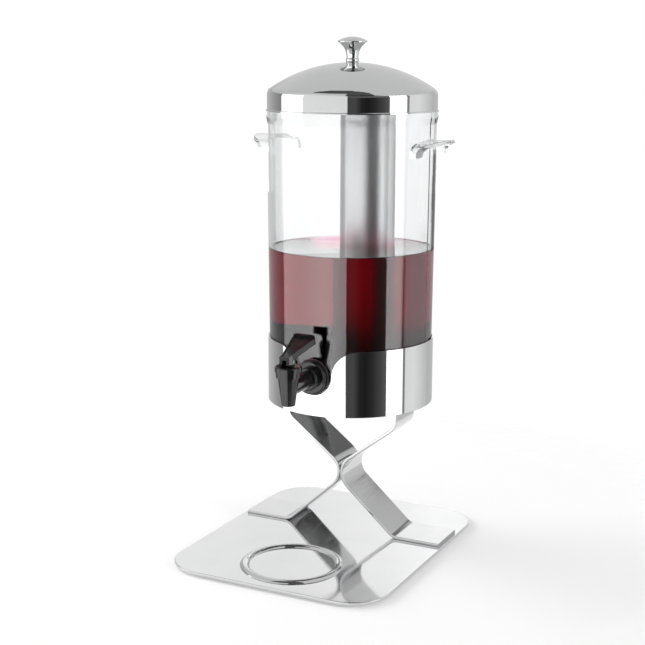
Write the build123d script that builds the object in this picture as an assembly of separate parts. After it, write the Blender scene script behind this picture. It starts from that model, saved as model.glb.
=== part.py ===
from build123d import *
import os
from math import cos, radians, sin, sqrt, tan

# Juice dispenser: a clear tank with an ice tube, a lid and a tap, which stands in a polished shroud
# on two bent steel strips.
# Frame: +Z up, the front with the tap towards -Y, the origin at the middle of the base plate on the table.
# All sizes are in millimetres.

# Cutting shapes and fits
OVERRUN = 5.0                   # how far a cutting shape runs past what it cuts
FIT_PLAY = 0.05                 # radial play of a screw, pin or rod in its hole
HEAD_ROUND_SHARE = 0.33         # of a screw head's height

# Base plate with its pressed ring and its pads
PLATE_WIDTH = 225.0
PLATE_DEPTH = 272.0
PLATE_THICKNESS = 2.5
PLATE_CORNER_RADIUS = 40.0
PLATE_EDGE_ROUND = 0.8
PAD_HEIGHT = 2.5
PAD_RADIUS = 9.0
PAD_EDGE_ROUND = 0.6
PAD_INSET = 34.0                # from the plate's edges to a pad's centre
RING_OUTER_RADIUS = 50.0
RING_INNER_RADIUS = 41.0
RING_HEIGHT = 2.5
RING_REACH = 126.5              # from the tank's axis forward to the ring's centre

# Tank axis: the stand, shroud, tank and lid share it
AXIS_Y = 51.0

# Bent strips of the stand
STRIP_THICKNESS = 3.0
STRIP_WIDTH = 46.0
STRIP_EDGE_ROUND = 0.8
STRIP_SEAM_GAP = 0.2            # between the two strips where they meet
LOWER_ARM_ANGLE = 41.7          # degrees above the table
UPPER_ARM_ANGLE = 37.5
WAIST_HEIGHT = 67.5             # of the corner of the strip's centre line above the table
WAIST_BEND_RADIUS = 18.9        # on the centre line, as the other two
FOOT_BEND_RADIUS = 13.5
SHOULDER_BEND_RADIUS = 14.5
FLANGE_BEND_RADIUS = 5.0
FOOT_REACH = 108.5              # from the middle to the end of a foot
POST_REACH = 59.7               # from the middle to the upright part's centre line
FLANGE_LENGTH = 34.0            # of the top flange, inward from the upright part

# Screws of the feet, countersunk in the plate
FOOT_SCREW_RADIUS = 2.0
FOOT_SCREW_HEAD_RADIUS = 4.0
FOOT_SCREW_HEAD_HEIGHT = 2.0
FOOT_SCREW_BITE = 2.3           # depth of the blind hole in the strip
FOOT_SCREW_KEY = 2.0            # across the flats
FOOT_SCREW_KEY_DEPTH = 1.0
FOOT_SCREW_REACH = 87.0         # from the middle
SCREW_SPACING = 26.0            # along the strip's width, for feet and flanges

# Shroud and its floor
SHROUD_RADIUS = 83.0
SHROUD_WALL = 1.0
SHROUD_BOTTOM = 141.0
SHROUD_HEIGHT = 65.0
NOTCH_HALF_WIDTH = 18.5
NOTCH_FLARE_RADIUS = 26.0
FLOOR_RECESS = 7.5              # from the shroud's lower edge up to the floor's underside
FLOOR_THICKNESS = 1.5
FLOOR_RIM_DEPTH = 7.0
FLOOR_BEND_RADIUS = 2.5

# Screws and nuts of the shroud
SHROUD_SCREW_RADIUS = 2.5
SHROUD_SCREW_HEAD_RADIUS = 4.5
SHROUD_SCREW_HEAD_HEIGHT = 2.4
SHROUD_SCREW_REACH = 40.0       # from the middle
SHROUD_NUT_HEIGHT = 4.0
SHROUD_NUT_ACROSS_FLATS = 8.0
SHROUD_SCREW_TIP = 1.0          # past the nut
HEX_KEY_ACROSS_FLATS = 3.0
HEX_KEY_DEPTH = 1.4

# Tank
TANK_FOOT_PLAY = 0.9            # radial, in the shroud's bore
TANK_DRAFT = 2.3                # by which the tank is wider at the collar's shoulder than at its foot
TANK_WALL = 3.0
TANK_FOOT_RING_WIDTH = 9.0
TANK_FOOT_RING_HEIGHT = 4.0
TANK_FOOT_ROUND = 1.5
TANK_FLOOR_THICKNESS = 4.0
TANK_FLOOR_FILLET = 6.0
COLLAR_TOP = 429.0              # height of the collar's shoulder, where the lid rests
COLLAR_HEIGHT = 12.0            # from the start of its soft taper to the shoulder
COLLAR_TAPER = 8.0              # height of the taper
COLLAR_STEP = 1.1               # of the collar outside the drafted wall
NECK_STEP = 1.1                 # of the neck inside it
NECK_HEIGHT = 8.0               # above the collar
NECK_ROUND = 0.6
SOCKET_WALL = 2.0               # ring on the tank's floor that holds the ice tube
SOCKET_HEIGHT = 6.0
SOCKET_PLAY = 0.4

# Handles
HANDLE_HALF_WIDTH = 33.5
HANDLE_THICKNESS = 3.0
HANDLE_CREST_DROP = 25.0        # this and the next two are below the collar's shoulder
HANDLE_SHOULDER_DROP = 30.0
HANDLE_BOTTOM_DROP = 41.0
HANDLE_CORNER_RADIUS = 9.5
HANDLE_EDGE_ROUND = 0.9
HANDLE_DEPTH = 21.6             # from the top of the drafted wall out to the tip
HANDLE_PLAN_RADIUS = 36.0
HANDLE_FOOT_DEPTH = 1.6         # of the gusset's lower corner
HANDLE_TIP_DROP = 6.0           # from the crest to the upper end of the gusset's slope

# Ice tube
TUBE_RADIUS = 28.0
TUBE_WALL = 0.8
TUBE_GAP = 12.1                 # from the tube back to the wall of the tank's foot
TUBE_LENGTH = 288.0
TUBE_BOTTOM_ROUND = 4.0
TUBE_RIM_RADIUS = 1.3

# Lid and knob
LID_PLAY = 0.6                  # radial, over the tank's neck
LID_SHEET = 0.8
LID_LIP_OVERHANG = 0.4          # past the collar
LID_LIP_HEIGHT = 1.6
LID_DOME_RADIUS = 144.0
LID_HEIGHT = 46.0               # from the lip to the knob's seat
LID_CORNER_RADIUS = 7.5
KNOB_SEAT_RADIUS = 7.5
KNOB_FOOT_RADIUS = 5.9
KNOB_BEAD_RADIUS = 6.5
KNOB_BEAD_HEIGHT = 1.7          # of the bead's widest place
KNOB_COLUMN_RADIUS = 5.75
KNOB_COLUMN_START = 4.3
KNOB_FLARE_SHARES = ((0.085, 0.34), (0.257, 0.6), (0.552, 0.798))  # outward and up, column to rim
KNOB_FLARE_END_SLOPE = 27.0     # degrees, under the rim
KNOB_TOP_RADIUS = 14.7
KNOB_RIM_HEIGHT = 19.2
KNOB_RIM_THICKNESS = 1.0
KNOB_RIM_ROUND = 0.35
KNOB_HEIGHT = 24.4
KNOB_SCREW_RADIUS = 2.0
KNOB_SCREW_BITE = 9.0
KNOB_SCREW_HEAD_RADIUS = 3.6
KNOB_SCREW_HEAD_HEIGHT = 2.4
KNOB_WASHER_RADIUS = 6.0
KNOB_WASHER_THICKNESS = 1.0

# Tap: its tail goes through the tank's wall, and its outlet hangs over the ring
TAP_RISE = 30.0                 # of the tail's axis above the tank's underside
TAP_PAD_RADIUS = 17.0           # flat pad of the tank's wall outside
TAP_PAD_RELIEF = 2.4            # of its face outside the tank's foot
TAP_PAD_INNER_RADIUS = 15.0
TAP_PAD_THICKNESS = 6.7
TAIL_RADIUS = 8.0
TAIL_LENGTH = 11.0              # inside the tank, from the pad
TAP_HOLE_PLAY = 0.25
INLET_RADIUS = 4.3
OUTER_WASHER_RADIUS = 17.2
OUTER_WASHER_THICKNESS = 2.0
INNER_WASHER_RADIUS = 13.5
INNER_WASHER_THICKNESS = 2.0
TAP_NUT_ACROSS_FLATS = 24.0
TAP_NUT_HEIGHT = 6.5
TAP_NUT_CHAMFER = 1.0
FLANGE_RADIUS = 16.5
FLANGE_THICKNESS = 5.0
FLANGE_ROUND = 1.6
BOSS_RADIUS = 11.2
BOSS_LENGTH = 7.0
BOSS_ROUND = 1.5
BARREL_RADIUS = 8.3
SPOUT_TOP_RADIUS = 10.15
SPOUT_TIP_RADIUS = 6.5
SPOUT_TOP_RISE = 10.5           # above the tail's axis
SPOUT_TIP_DROP = 16.5           # below it, as the chamber's floor
SPOUT_TIP_ROUND = 0.8
OUTLET_RADIUS = 4.0
CHAMBER_RADIUS = 6.3
CHAMBER_FLOOR_DROP = 5.7
SEAT_LIP_WIDTH = 1.0
SEAT_LIP_HEIGHT = 1.0
NECK_THREAD_RADIUS = 10.0
NECK_THREAD_HEIGHT = 6.5

# Bonnet
BONNET_SEAL_THICKNESS = 0.8
BONNET_SKIRT_GAP = 0.4          # above the spout's shoulder
BONNET_ROOF = 3.2
BONNET_TOP_RADIUS = 12.9
BONNET_TOP_BAND = 4.6           # height of the wide band at the top
BONNET_BAND_ROUND = 1.2
BONNET_WAIST_RADIUS = 12.2
BONNET_SKIRT_RADIUS = 11.8
STEM_PLAY = 0.08

# Stem, cup and spring
STEM_RADIUS = 2.2
STEM_EYE_RADIUS = 3.0
STEM_EYE_WIDTH = 4.4
STEM_EYE_START = 0.7            # above the bonnet's top
STEM_BITE = 6.2                 # length inside the cup
CUP_RADIUS = 6.1
CUP_LIP_RADIUS = 5.7
CUP_WAIST_RADIUS = 4.9
CUP_HEIGHT = 7.6
CUP_RIM_HEIGHT = 1.6
SPRING_RADIUS = 3.9
SPRING_WIRE_RADIUS = 0.4
SPRING_TURNS = 6
SPRING_END_PLAY = 0.05

# Lever with its cam feet, and its pin
PIN_RADIUS = 1.5
PIN_OVERHANG = 0.4
PIN_RISE = 4.6                  # of the pin's axis above the bonnet's top
PIN_PLAY = 0.05
LEVER_TRAVEL = 55.0             # degrees
VALVE_LIFT = 3.2                # of the stem over the lever's travel
CAM_CLEARANCE = 0.15
CAM_STEPS = 5
LEVER_TILT = 16.3               # degrees, of the closed lever above level
LEVER_LENGTH = 38.341           # from the pin to the free end
LEVER_END_GAP = 13.2            # level, from the lever's free end back to the shroud
LEVER_NOSE = 6.2                # from the pin forward
LEVER_ROOT_HALF_WIDTH = 5.2
LEVER_END_HALF_WIDTH = 12.3
LEVER_TOP_RISE = 7.1            # of the upper face above the pin
LEVER_PLATE = 3.0
LEVER_RIB_DEPTH = 2.8
LEVER_RIB_WIDTH = 2.0
LEVER_LIP_WIDTH = 3.0
LEVER_LIP_HEIGHT = 1.6
LEVER_DISH_MARGIN = 1.3
LEVER_DISH_DEPTH = 0.8
LEVER_END_ROUND = 4.0
FORK_HALF_GAP = 2.4
FORK_BACK = 4.6                 # of the feet behind the pin
FORK_HEEL_ROUND = 2.0

# Heights and places that follow from the sizes above
PLATE_TOP = PAD_HEIGHT + PLATE_THICKNESS
RING_Y = AXIS_Y - RING_REACH
SHROUD_TOP = SHROUD_BOTTOM + SHROUD_HEIGHT
SHROUD_BORE = SHROUD_RADIUS - SHROUD_WALL
FLOOR_UNDERSIDE = SHROUD_BOTTOM + FLOOR_RECESS
TANK_FOOT_RADIUS = SHROUD_BORE - TANK_FOOT_PLAY
TANK_TOP_RADIUS = TANK_FOOT_RADIUS + TANK_DRAFT
COLLAR_RADIUS = TANK_TOP_RADIUS + COLLAR_STEP
NECK_RADIUS = TANK_TOP_RADIUS - NECK_STEP
TANK_BOTTOM = FLOOR_UNDERSIDE + FLOOR_THICKNESS
TANK_FLOOR = TANK_BOTTOM + TANK_FOOT_RING_HEIGHT + TANK_FLOOR_THICKNESS
NECK_TOP = COLLAR_TOP + NECK_HEIGHT
HANDLE_CREST = COLLAR_TOP - HANDLE_CREST_DROP
HANDLE_SHOULDER = COLLAR_TOP - HANDLE_SHOULDER_DROP
HANDLE_BOTTOM = COLLAR_TOP - HANDLE_BOTTOM_DROP
HANDLE_REACH = TANK_TOP_RADIUS + HANDLE_DEPTH
HANDLE_FOOT_REACH = TANK_TOP_RADIUS + HANDLE_FOOT_DEPTH
TUBE_Y = AXIS_Y + TANK_FOOT_RADIUS - TANK_WALL - TUBE_GAP - TUBE_RADIUS
LID_WALL_RADIUS = NECK_RADIUS + LID_PLAY + LID_SHEET
LID_LIP_RADIUS = COLLAR_RADIUS + LID_LIP_OVERHANG
LID_SEAT = COLLAR_TOP + LID_HEIGHT
TAP_PAD_FACE = TANK_FOOT_RADIUS + TAP_PAD_RELIEF
TAP_PAD_INNER_FACE = TAP_PAD_FACE - TAP_PAD_THICKNESS
TAIL_END = TAP_PAD_INNER_FACE - TAIL_LENGTH
TAP_HEIGHT = TANK_BOTTOM + TAP_RISE
SPOUT_TOP = TAP_HEIGHT + SPOUT_TOP_RISE
SPOUT_TIP = TAP_HEIGHT - SPOUT_TIP_DROP
CHAMBER_FLOOR = TAP_HEIGHT - CHAMBER_FLOOR_DROP
FLANGE_BACK = TAP_PAD_FACE + OUTER_WASHER_THICKNESS
SPOUT_REACH = SHROUD_RADIUS + LEVER_END_GAP + LEVER_LENGTH * cos(radians(LEVER_TILT))
SPOUT_Y = AXIS_Y - SPOUT_REACH
SPOUT_NECK_TOP = SPOUT_TOP + NECK_THREAD_HEIGHT
BONNET_CEILING = SPOUT_NECK_TOP + BONNET_SEAL_THICKNESS
BONNET_TOP = BONNET_CEILING + BONNET_ROOF
PIN_HEIGHT = BONNET_TOP + PIN_RISE
CUP_BOTTOM = CHAMBER_FLOOR + SEAT_LIP_HEIGHT
CUP_TOP = CUP_BOTTOM + CUP_HEIGHT

tank_axis = Axis((0, AXIS_Y, 0), (0, 0, 1))
spout_axis = Axis((0, SPOUT_Y, 0), (0, 0, 1))


# Shared helpers

def turned(points, axis_y):
    """A solid turned about the upright axis at (0, axis_y), from its outline as (radius, height) points."""
    outline = Polyline(*[(radius, axis_y, height) for radius, height in points], close=True)
    return revolve(make_face(outline), Axis((0, axis_y, 0), (0, 0, 1)))


def rod(radius, bottom, top, x=0, y=0):
    """An upright cylinder between two heights."""
    return Pos(x, y, bottom) * Cylinder(radius, top - bottom, align=(Align.CENTER, Align.CENTER, Align.MIN))


def tap_disc(radius, start, end):
    """A cylinder on the tap's level axis, between two distances from the tank's axis."""
    face = Plane(origin=(0, AXIS_Y - start, TAP_HEIGHT), x_dir=(1, 0, 0), z_dir=(0, -1, 0)) * Circle(radius)
    return extrude(face, end - start)


def hexagon(across_flats, bottom, top, x=0, y=0):
    """An upright hexagonal prism."""
    face = Pos(x, y, bottom) * RegularPolygon(across_flats / 2, 6, major_radius=False)
    return extrude(face, top - bottom)


def at_strip_screws(reach):
    """The four places of the screws of the feet or of the flanges."""
    return [(side * reach, AXIS_Y + end * SCREW_SPACING / 2) for side in (-1, 1) for end in (-1, 1)]


def ends_facing(solid, axis, last=True):
    """The edges of the first or last face along an axis."""
    return solid.faces().sort_by(axis)[-1 if last else 0].edges()


# Base

def make_base_plate():
    blank = Pos(0, 0, PAD_HEIGHT) * extrude(
        RectangleRounded(PLATE_WIDTH, PLATE_DEPTH, PLATE_CORNER_RADIUS), PLATE_THICKNESS)
    blank = fillet(ends_facing(blank, Axis.Z), PLATE_EDGE_ROUND)
    plate = blank + ring_bead(PLATE_TOP) - ring_bead(PAD_HEIGHT)
    for x, y in at_strip_screws(FOOT_SCREW_REACH):
        plate -= foot_screw(x, y, FIT_PLAY)
    return plate


def ring_bead(level):
    """The pressed ring's rounded form, standing on a level."""
    inner = (RING_INNER_RADIUS, RING_Y, level)
    crest = ((RING_INNER_RADIUS + RING_OUTER_RADIUS) / 2, RING_Y, level + RING_HEIGHT)
    outer = (RING_OUTER_RADIUS, RING_Y, level)
    outline = ThreePointArc(inner, crest, outer) + Line(outer, inner)
    return revolve(make_face(outline), Axis((0, RING_Y, 0), (0, 0, 1)))


def foot_screw(x, y, play=0.0):
    """A countersunk screw, its head flush with the plate's underside. With play it is the hole for it."""
    head_end = PAD_HEIGHT + FOOT_SCREW_HEAD_HEIGHT
    head = Pos(x, y, PAD_HEIGHT) * Cone(
        FOOT_SCREW_HEAD_RADIUS + play, FOOT_SCREW_RADIUS + play, FOOT_SCREW_HEAD_HEIGHT,
        align=(Align.CENTER, Align.CENTER, Align.MIN))
    shank = rod(FOOT_SCREW_RADIUS + play, head_end, PLATE_TOP + FOOT_SCREW_BITE, x, y)
    return head + shank


def make_foot_screws():
    screws = []
    for x, y in at_strip_screws(FOOT_SCREW_REACH):
        socket = hexagon(FOOT_SCREW_KEY, PAD_HEIGHT - OVERRUN, PAD_HEIGHT + FOOT_SCREW_KEY_DEPTH, x, y)
        screws.append(foot_screw(x, y) - socket)
    return screws


def make_plate_feet():
    x = PLATE_WIDTH / 2 - PAD_INSET
    y = PLATE_DEPTH / 2 - PAD_INSET
    pad = rod(PAD_RADIUS, 0, PAD_HEIGHT)
    pad = fillet(ends_facing(pad, Axis.Z, last=False), PAD_EDGE_ROUND)
    return [Pos(side * x, end * y, 0) * pad for side in (-1, 1) for end in (-1, 1)]


# Stand

def strip_corners():
    """The corners of the right strip's centre line as (x, height), from the foot to the flange's end."""
    half_turn = radians(180 - LOWER_ARM_ANGLE - UPPER_ARM_ANGLE) / 2
    lean = radians(LOWER_ARM_ANGLE - UPPER_ARM_ANGLE) / 2
    bend_centre_x = STRIP_SEAM_GAP / 2 + STRIP_THICKNESS / 2 + WAIST_BEND_RADIUS
    waist_x = bend_centre_x - WAIST_BEND_RADIUS / cos(half_turn) * cos(lean)
    foot_height = PLATE_TOP + STRIP_THICKNESS / 2
    foot_x = waist_x + (WAIST_HEIGHT - foot_height) / tan(radians(LOWER_ARM_ANGLE))
    shoulder_height = WAIST_HEIGHT + (POST_REACH - waist_x) * tan(radians(UPPER_ARM_ANGLE))
    flange_height = FLOOR_UNDERSIDE - STRIP_THICKNESS / 2
    return [
        (FOOT_REACH, foot_height),
        (foot_x, foot_height),
        (waist_x, WAIST_HEIGHT),
        (POST_REACH, shoulder_height),
        (POST_REACH, flange_height),
        (POST_REACH - FLANGE_LENGTH, flange_height),
    ]


def make_strip_right():
    points = [(x, AXIS_Y, height) for x, height in strip_corners()]
    bends = [FOOT_BEND_RADIUS, WAIST_BEND_RADIUS, SHOULDER_BEND_RADIUS, FLANGE_BEND_RADIUS]
    path = FilletPolyline(*points, radius=bends)
    section = Plane(origin=path @ 0, x_dir=(0, 1, 0), z_dir=path % 0) * RectangleRounded(
        STRIP_WIDTH, STRIP_THICKNESS, STRIP_EDGE_ROUND)
    strip = sweep(section, path=path)
    for x, y in at_strip_screws(FOOT_SCREW_REACH):
        strip -= foot_screw(x, y, FIT_PLAY)
    for x, y in at_strip_screws(SHROUD_SCREW_REACH):
        strip -= rod(SHROUD_SCREW_RADIUS + FIT_PLAY, FLOOR_UNDERSIDE - OVERRUN, FLOOR_UNDERSIDE, x, y)
    return strip


def make_shroud():
    shroud = rod(SHROUD_RADIUS, SHROUD_BOTTOM, SHROUD_TOP, y=AXIS_Y) - rod(
        SHROUD_BORE, SHROUD_BOTTOM - OVERRUN, SHROUD_TOP + OVERRUN, y=AXIS_Y)
    front = Plane(origin=(0, AXIS_Y, 0), x_dir=(1, 0, 0), z_dir=(0, -1, 0))
    return shroud - extrude(front * notch_outline(), SHROUD_RADIUS + OVERRUN)


def notch_outline():
    """The notch seen from the front: a round bottom, upright sides and flared upper corners."""
    above = SHROUD_TOP + OVERRUN
    slot = Pos(0, TAP_HEIGHT) * Circle(NOTCH_HALF_WIDTH)
    slot += Pos(0, (TAP_HEIGHT + above) / 2) * Rectangle(2 * NOTCH_HALF_WIDTH, above - TAP_HEIGHT)
    flare_x = NOTCH_HALF_WIDTH + NOTCH_FLARE_RADIUS
    flare_start = SHROUD_TOP - NOTCH_FLARE_RADIUS
    flare = Pos(0, (flare_start + above) / 2) * Rectangle(2 * flare_x, above - flare_start)
    for side in (-1, 1):
        flare -= Pos(side * flare_x, flare_start) * Circle(NOTCH_FLARE_RADIUS)
        flare -= Pos(side * (flare_x + OVERRUN), above) * Rectangle(2 * OVERRUN, 2 * OVERRUN)
    return slot + flare


def make_shroud_floor():
    rim_bottom = TANK_BOTTOM - FLOOR_RIM_DEPTH
    pan = rod(SHROUD_BORE, rim_bottom, TANK_BOTTOM, y=AXIS_Y)
    pan = fillet(ends_facing(pan, Axis.Z), FLOOR_BEND_RADIUS + FLOOR_THICKNESS)
    hollow = rod(SHROUD_BORE - FLOOR_THICKNESS, rim_bottom - OVERRUN, FLOOR_UNDERSIDE, y=AXIS_Y)
    hollow = fillet(ends_facing(hollow, Axis.Z), FLOOR_BEND_RADIUS)
    pan -= hollow
    for x, y in at_strip_screws(SHROUD_SCREW_REACH):
        pan -= rod(SHROUD_SCREW_RADIUS + FIT_PLAY, FLOOR_UNDERSIDE - OVERRUN, TANK_BOTTOM + OVERRUN, x, y)
    return pan


def make_shroud_screws():
    tip = FLOOR_UNDERSIDE - STRIP_THICKNESS - SHROUD_NUT_HEIGHT - SHROUD_SCREW_TIP
    head_top = TANK_BOTTOM + SHROUD_SCREW_HEAD_HEIGHT
    screws = []
    for x, y in at_strip_screws(SHROUD_SCREW_REACH):
        head = rod(SHROUD_SCREW_HEAD_RADIUS, TANK_BOTTOM, head_top, x, y)
        head = fillet(ends_facing(head, Axis.Z), HEAD_ROUND_SHARE * SHROUD_SCREW_HEAD_HEIGHT)
        socket = hexagon(HEX_KEY_ACROSS_FLATS, head_top - HEX_KEY_DEPTH, head_top + OVERRUN, x, y)
        screws.append(head + rod(SHROUD_SCREW_RADIUS, tip, TANK_BOTTOM, x, y) - socket)
    return screws


def make_shroud_nuts():
    top = FLOOR_UNDERSIDE - STRIP_THICKNESS
    bottom = top - SHROUD_NUT_HEIGHT
    nuts = []
    for x, y in at_strip_screws(SHROUD_SCREW_REACH):
        nut = hexagon(SHROUD_NUT_ACROSS_FLATS, bottom, top, x, y)
        nuts.append(nut - rod(SHROUD_SCREW_RADIUS + FIT_PLAY, bottom - OVERRUN, top + OVERRUN, x, y))
    return nuts


# Tank

def tank_radius(height):
    """The outer radius of the drafted wall at a height."""
    share = (height - TANK_BOTTOM) / (COLLAR_TOP - TANK_BOTTOM)
    return TANK_FOOT_RADIUS + share * (TANK_TOP_RADIUS - TANK_FOOT_RADIUS)


def make_tank():
    taper_bottom = COLLAR_TOP - COLLAR_HEIGHT
    wall_top = (tank_radius(taper_bottom), AXIS_Y, taper_bottom)
    collar_start = (COLLAR_RADIUS, AXIS_Y, taper_bottom + COLLAR_TAPER)
    outside = Polyline(
        collar_start,
        (COLLAR_RADIUS, AXIS_Y, COLLAR_TOP),
        (NECK_RADIUS, AXIS_Y, COLLAR_TOP),
        (NECK_RADIUS, AXIS_Y, NECK_TOP),
        (0, AXIS_Y, NECK_TOP),
        (0, AXIS_Y, TANK_BOTTOM),
        (TANK_FOOT_RADIUS, AXIS_Y, TANK_BOTTOM),
        wall_top)
    taper = Spline(wall_top, collar_start, tangents=[(0, 0, 1), (0, 0, 1)])
    tank = revolve(make_face(outside + taper), tank_axis)
    tank = fillet(ends_facing(tank, Axis.Z), NECK_ROUND)
    tank = fillet(ends_facing(tank, Axis.Z, last=False), TANK_FOOT_ROUND)
    above = NECK_TOP + OVERRUN
    hollow = turned([
        (0, TANK_FLOOR),
        (tank_radius(TANK_FLOOR) - TANK_WALL, TANK_FLOOR),
        (tank_radius(above) - TANK_WALL, above),
        (0, above),
    ], AXIS_Y)
    hollow = fillet(ends_facing(hollow, Axis.Z, last=False), TANK_FLOOR_FILLET)
    hollow -= tap_disc(TAP_PAD_INNER_RADIUS, TAP_PAD_INNER_FACE, SHROUD_RADIUS)
    ring_bore = TANK_FOOT_RADIUS - TANK_FOOT_RING_WIDTH
    recess = rod(ring_bore, TANK_BOTTOM - OVERRUN, TANK_BOTTOM + TANK_FOOT_RING_HEIGHT, y=AXIS_Y)
    socket = rod(TUBE_RADIUS + SOCKET_PLAY + SOCKET_WALL, TANK_FLOOR, TANK_FLOOR + SOCKET_HEIGHT, y=TUBE_Y)
    socket -= rod(TUBE_RADIUS + SOCKET_PLAY, TANK_FLOOR, TANK_FLOOR + SOCKET_HEIGHT + OVERRUN, y=TUBE_Y)
    tank += tap_disc(TAP_PAD_RADIUS, TAP_PAD_INNER_FACE, TAP_PAD_FACE)
    tank = tank - hollow - recess
    tank += socket
    return tank - tap_disc(TAIL_RADIUS + TAP_HOLE_PLAY, TAIL_END - OVERRUN, TAP_PAD_FACE + OVERRUN)


def make_handle_right():
    across = Plane(origin=(0, AXIS_Y, 0), x_dir=(0, 1, 0), z_dir=(1, 0, 0))
    arch = extrude(across * arch_outline(0), HANDLE_REACH)
    arch -= extrude(across * arch_outline(HANDLE_THICKNESS), HANDLE_REACH + OVERRUN)
    plan = Pos(HANDLE_REACH - HANDLE_PLAN_RADIUS, AXIS_Y, HANDLE_BOTTOM) * Cylinder(
        HANDLE_PLAN_RADIUS, HANDLE_CREST, align=(Align.CENTER, Align.CENTER, Align.MIN))
    slope_top = HANDLE_CREST - HANDLE_TIP_DROP
    gusset = make_face(Polyline(
        (0, AXIS_Y, HANDLE_BOTTOM),
        (HANDLE_FOOT_REACH, AXIS_Y, HANDLE_BOTTOM),
        (HANDLE_REACH, AXIS_Y, slope_top),
        (HANDLE_REACH, AXIS_Y, HANDLE_CREST),
        (0, AXIS_Y, HANDLE_CREST),
        close=True))
    side_form = extrude(gusset, HANDLE_HALF_WIDTH, dir=(0, 1, 0), both=True)
    wall = turned([
        (0, TANK_BOTTOM),
        (TANK_FOOT_RADIUS, TANK_BOTTOM),
        (TANK_TOP_RADIUS, COLLAR_TOP),
        (0, COLLAR_TOP),
    ], AXIS_Y)
    form = arch & plan & side_form
    core = extrude(across * arch_outline(HANDLE_THICKNESS / 2), HANDLE_REACH + OVERRUN).solid()
    outer_edges = form.edges().filter_by(GeomType.BSPLINE).filter_by(
        lambda edge: edge.center().X > TANK_FOOT_RADIUS and not core.is_inside(edge @ 0.5))
    return fillet(outer_edges, HANDLE_EDGE_ROUND) - wall


def arch_outline(inset):
    """The handle's arch seen from the side, drawn in by its thickness for the finger gap below it."""
    half = HANDLE_HALF_WIDTH - inset
    bottom = HANDLE_BOTTOM - (OVERRUN if inset else 0)
    shoulder = HANDLE_SHOULDER - inset
    outline = Polyline((-half, shoulder), (-half, bottom), (half, bottom), (half, shoulder))
    outline += ThreePointArc((half, shoulder), (0, HANDLE_CREST - inset), (-half, shoulder))
    face = make_face(outline)
    corners = face.vertices().sort_by(Axis.Y)[2:]
    return fillet(corners, HANDLE_CORNER_RADIUS - inset)


def make_ice_tube():
    tube_top = TANK_FLOOR + TUBE_LENGTH
    tube = rod(TUBE_RADIUS, TANK_FLOOR, tube_top, y=TUBE_Y)
    tube = fillet(ends_facing(tube, Axis.Z, last=False), TUBE_BOTTOM_ROUND)
    hollow = rod(TUBE_RADIUS - TUBE_WALL, TANK_FLOOR + TUBE_WALL, tube_top + OVERRUN, y=TUBE_Y)
    hollow = fillet(ends_facing(hollow, Axis.Z, last=False), TUBE_BOTTOM_ROUND - TUBE_WALL)
    rim = Pos(0, TUBE_Y, tube_top) * Torus(TUBE_RADIUS - TUBE_WALL / 2, TUBE_RIM_RADIUS)
    return tube - hollow + rim


# Lid

def lid_form(inset):
    """The lid's domed form as a solid, drawn in by an inset on every side but the bottom."""
    wall = LID_WALL_RADIUS - inset
    dome = LID_DOME_RADIUS - inset
    seat = LID_SEAT - inset
    centre = LID_SEAT + dome_sag(KNOB_SEAT_RADIUS) - LID_DOME_RADIUS
    corner = centre + sqrt(dome ** 2 - wall ** 2)
    seat_edge = sqrt(dome ** 2 - (seat - centre) ** 2)
    middle_radius = (wall + seat_edge) / 2
    middle = (middle_radius, AXIS_Y, centre + sqrt(dome ** 2 - middle_radius ** 2))
    bottom = COLLAR_TOP - (OVERRUN if inset else 0)
    rise = Polyline((seat_edge, AXIS_Y, seat), (0, AXIS_Y, seat), (0, AXIS_Y, bottom),
                    (wall, AXIS_Y, bottom), (wall, AXIS_Y, corner))
    crown = ThreePointArc((wall, AXIS_Y, corner), middle, (seat_edge, AXIS_Y, seat))
    form = revolve(make_face(rise + crown), tank_axis)
    shoulder = form.edges().filter_by(GeomType.CIRCLE).filter_by(
        lambda edge: abs(edge.center().Z - corner) < LID_SHEET)
    return fillet(shoulder, LID_CORNER_RADIUS - inset)


def dome_sag(radius):
    """How far the dome has dropped from its crest at a radius."""
    return LID_DOME_RADIUS - sqrt(LID_DOME_RADIUS ** 2 - radius ** 2)


def make_lid():
    lip = rod(LID_LIP_RADIUS, COLLAR_TOP, COLLAR_TOP + LID_LIP_HEIGHT, y=AXIS_Y)
    lip = fillet(ends_facing(lip, Axis.Z), LID_LIP_HEIGHT / 2)
    lid = lid_form(0) + lip - lid_form(LID_SHEET)
    return lid - rod(KNOB_SCREW_RADIUS + FIT_PLAY, LID_SEAT - OVERRUN, LID_SEAT + OVERRUN, y=AXIS_Y)


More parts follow.
